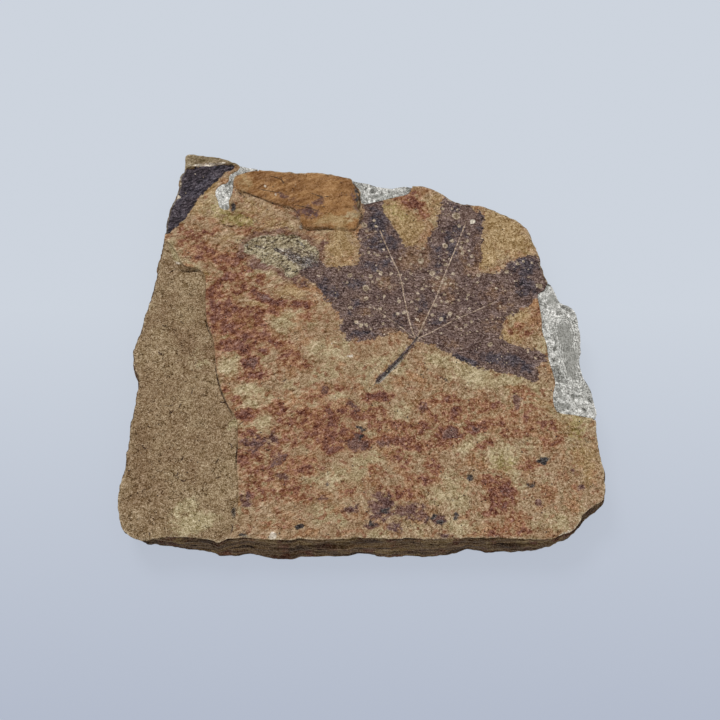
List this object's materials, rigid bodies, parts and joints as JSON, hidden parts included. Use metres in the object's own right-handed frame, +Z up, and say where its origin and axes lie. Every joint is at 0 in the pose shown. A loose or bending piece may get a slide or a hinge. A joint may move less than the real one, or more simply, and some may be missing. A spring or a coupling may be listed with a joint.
{
  "type": "fossil maple leaf slab",
  "caption": "Flat split slab of ochre sandstone with a dark lobed maple leaf lying in its own print, a scrap of another leaf in one corner and plaster-filled chips.",
  "frame": {"origin": "under the middle of the slab, on the surface that it rests on", "axes": "+Z up out of the leaf's face, +X along the slab's longer side to the right, +Y to the back, where the leaf's lobes point"},
  "size_m": [0.1736, 0.1634, 0.0152],
  "materials": {
    "stone": "matte",
    "leaf_film": "matte",
    "plaster": "matte"
  },
  "bodies": {
    "root": {"stone_slab": "stone", "maple_leaf": "leaf_film", "leaf_scrap": "leaf_film", "plaster_right": "plaster", "plaster_back": "plaster", "plaster_crack": "plaster"}
  },
  "joints": []
}
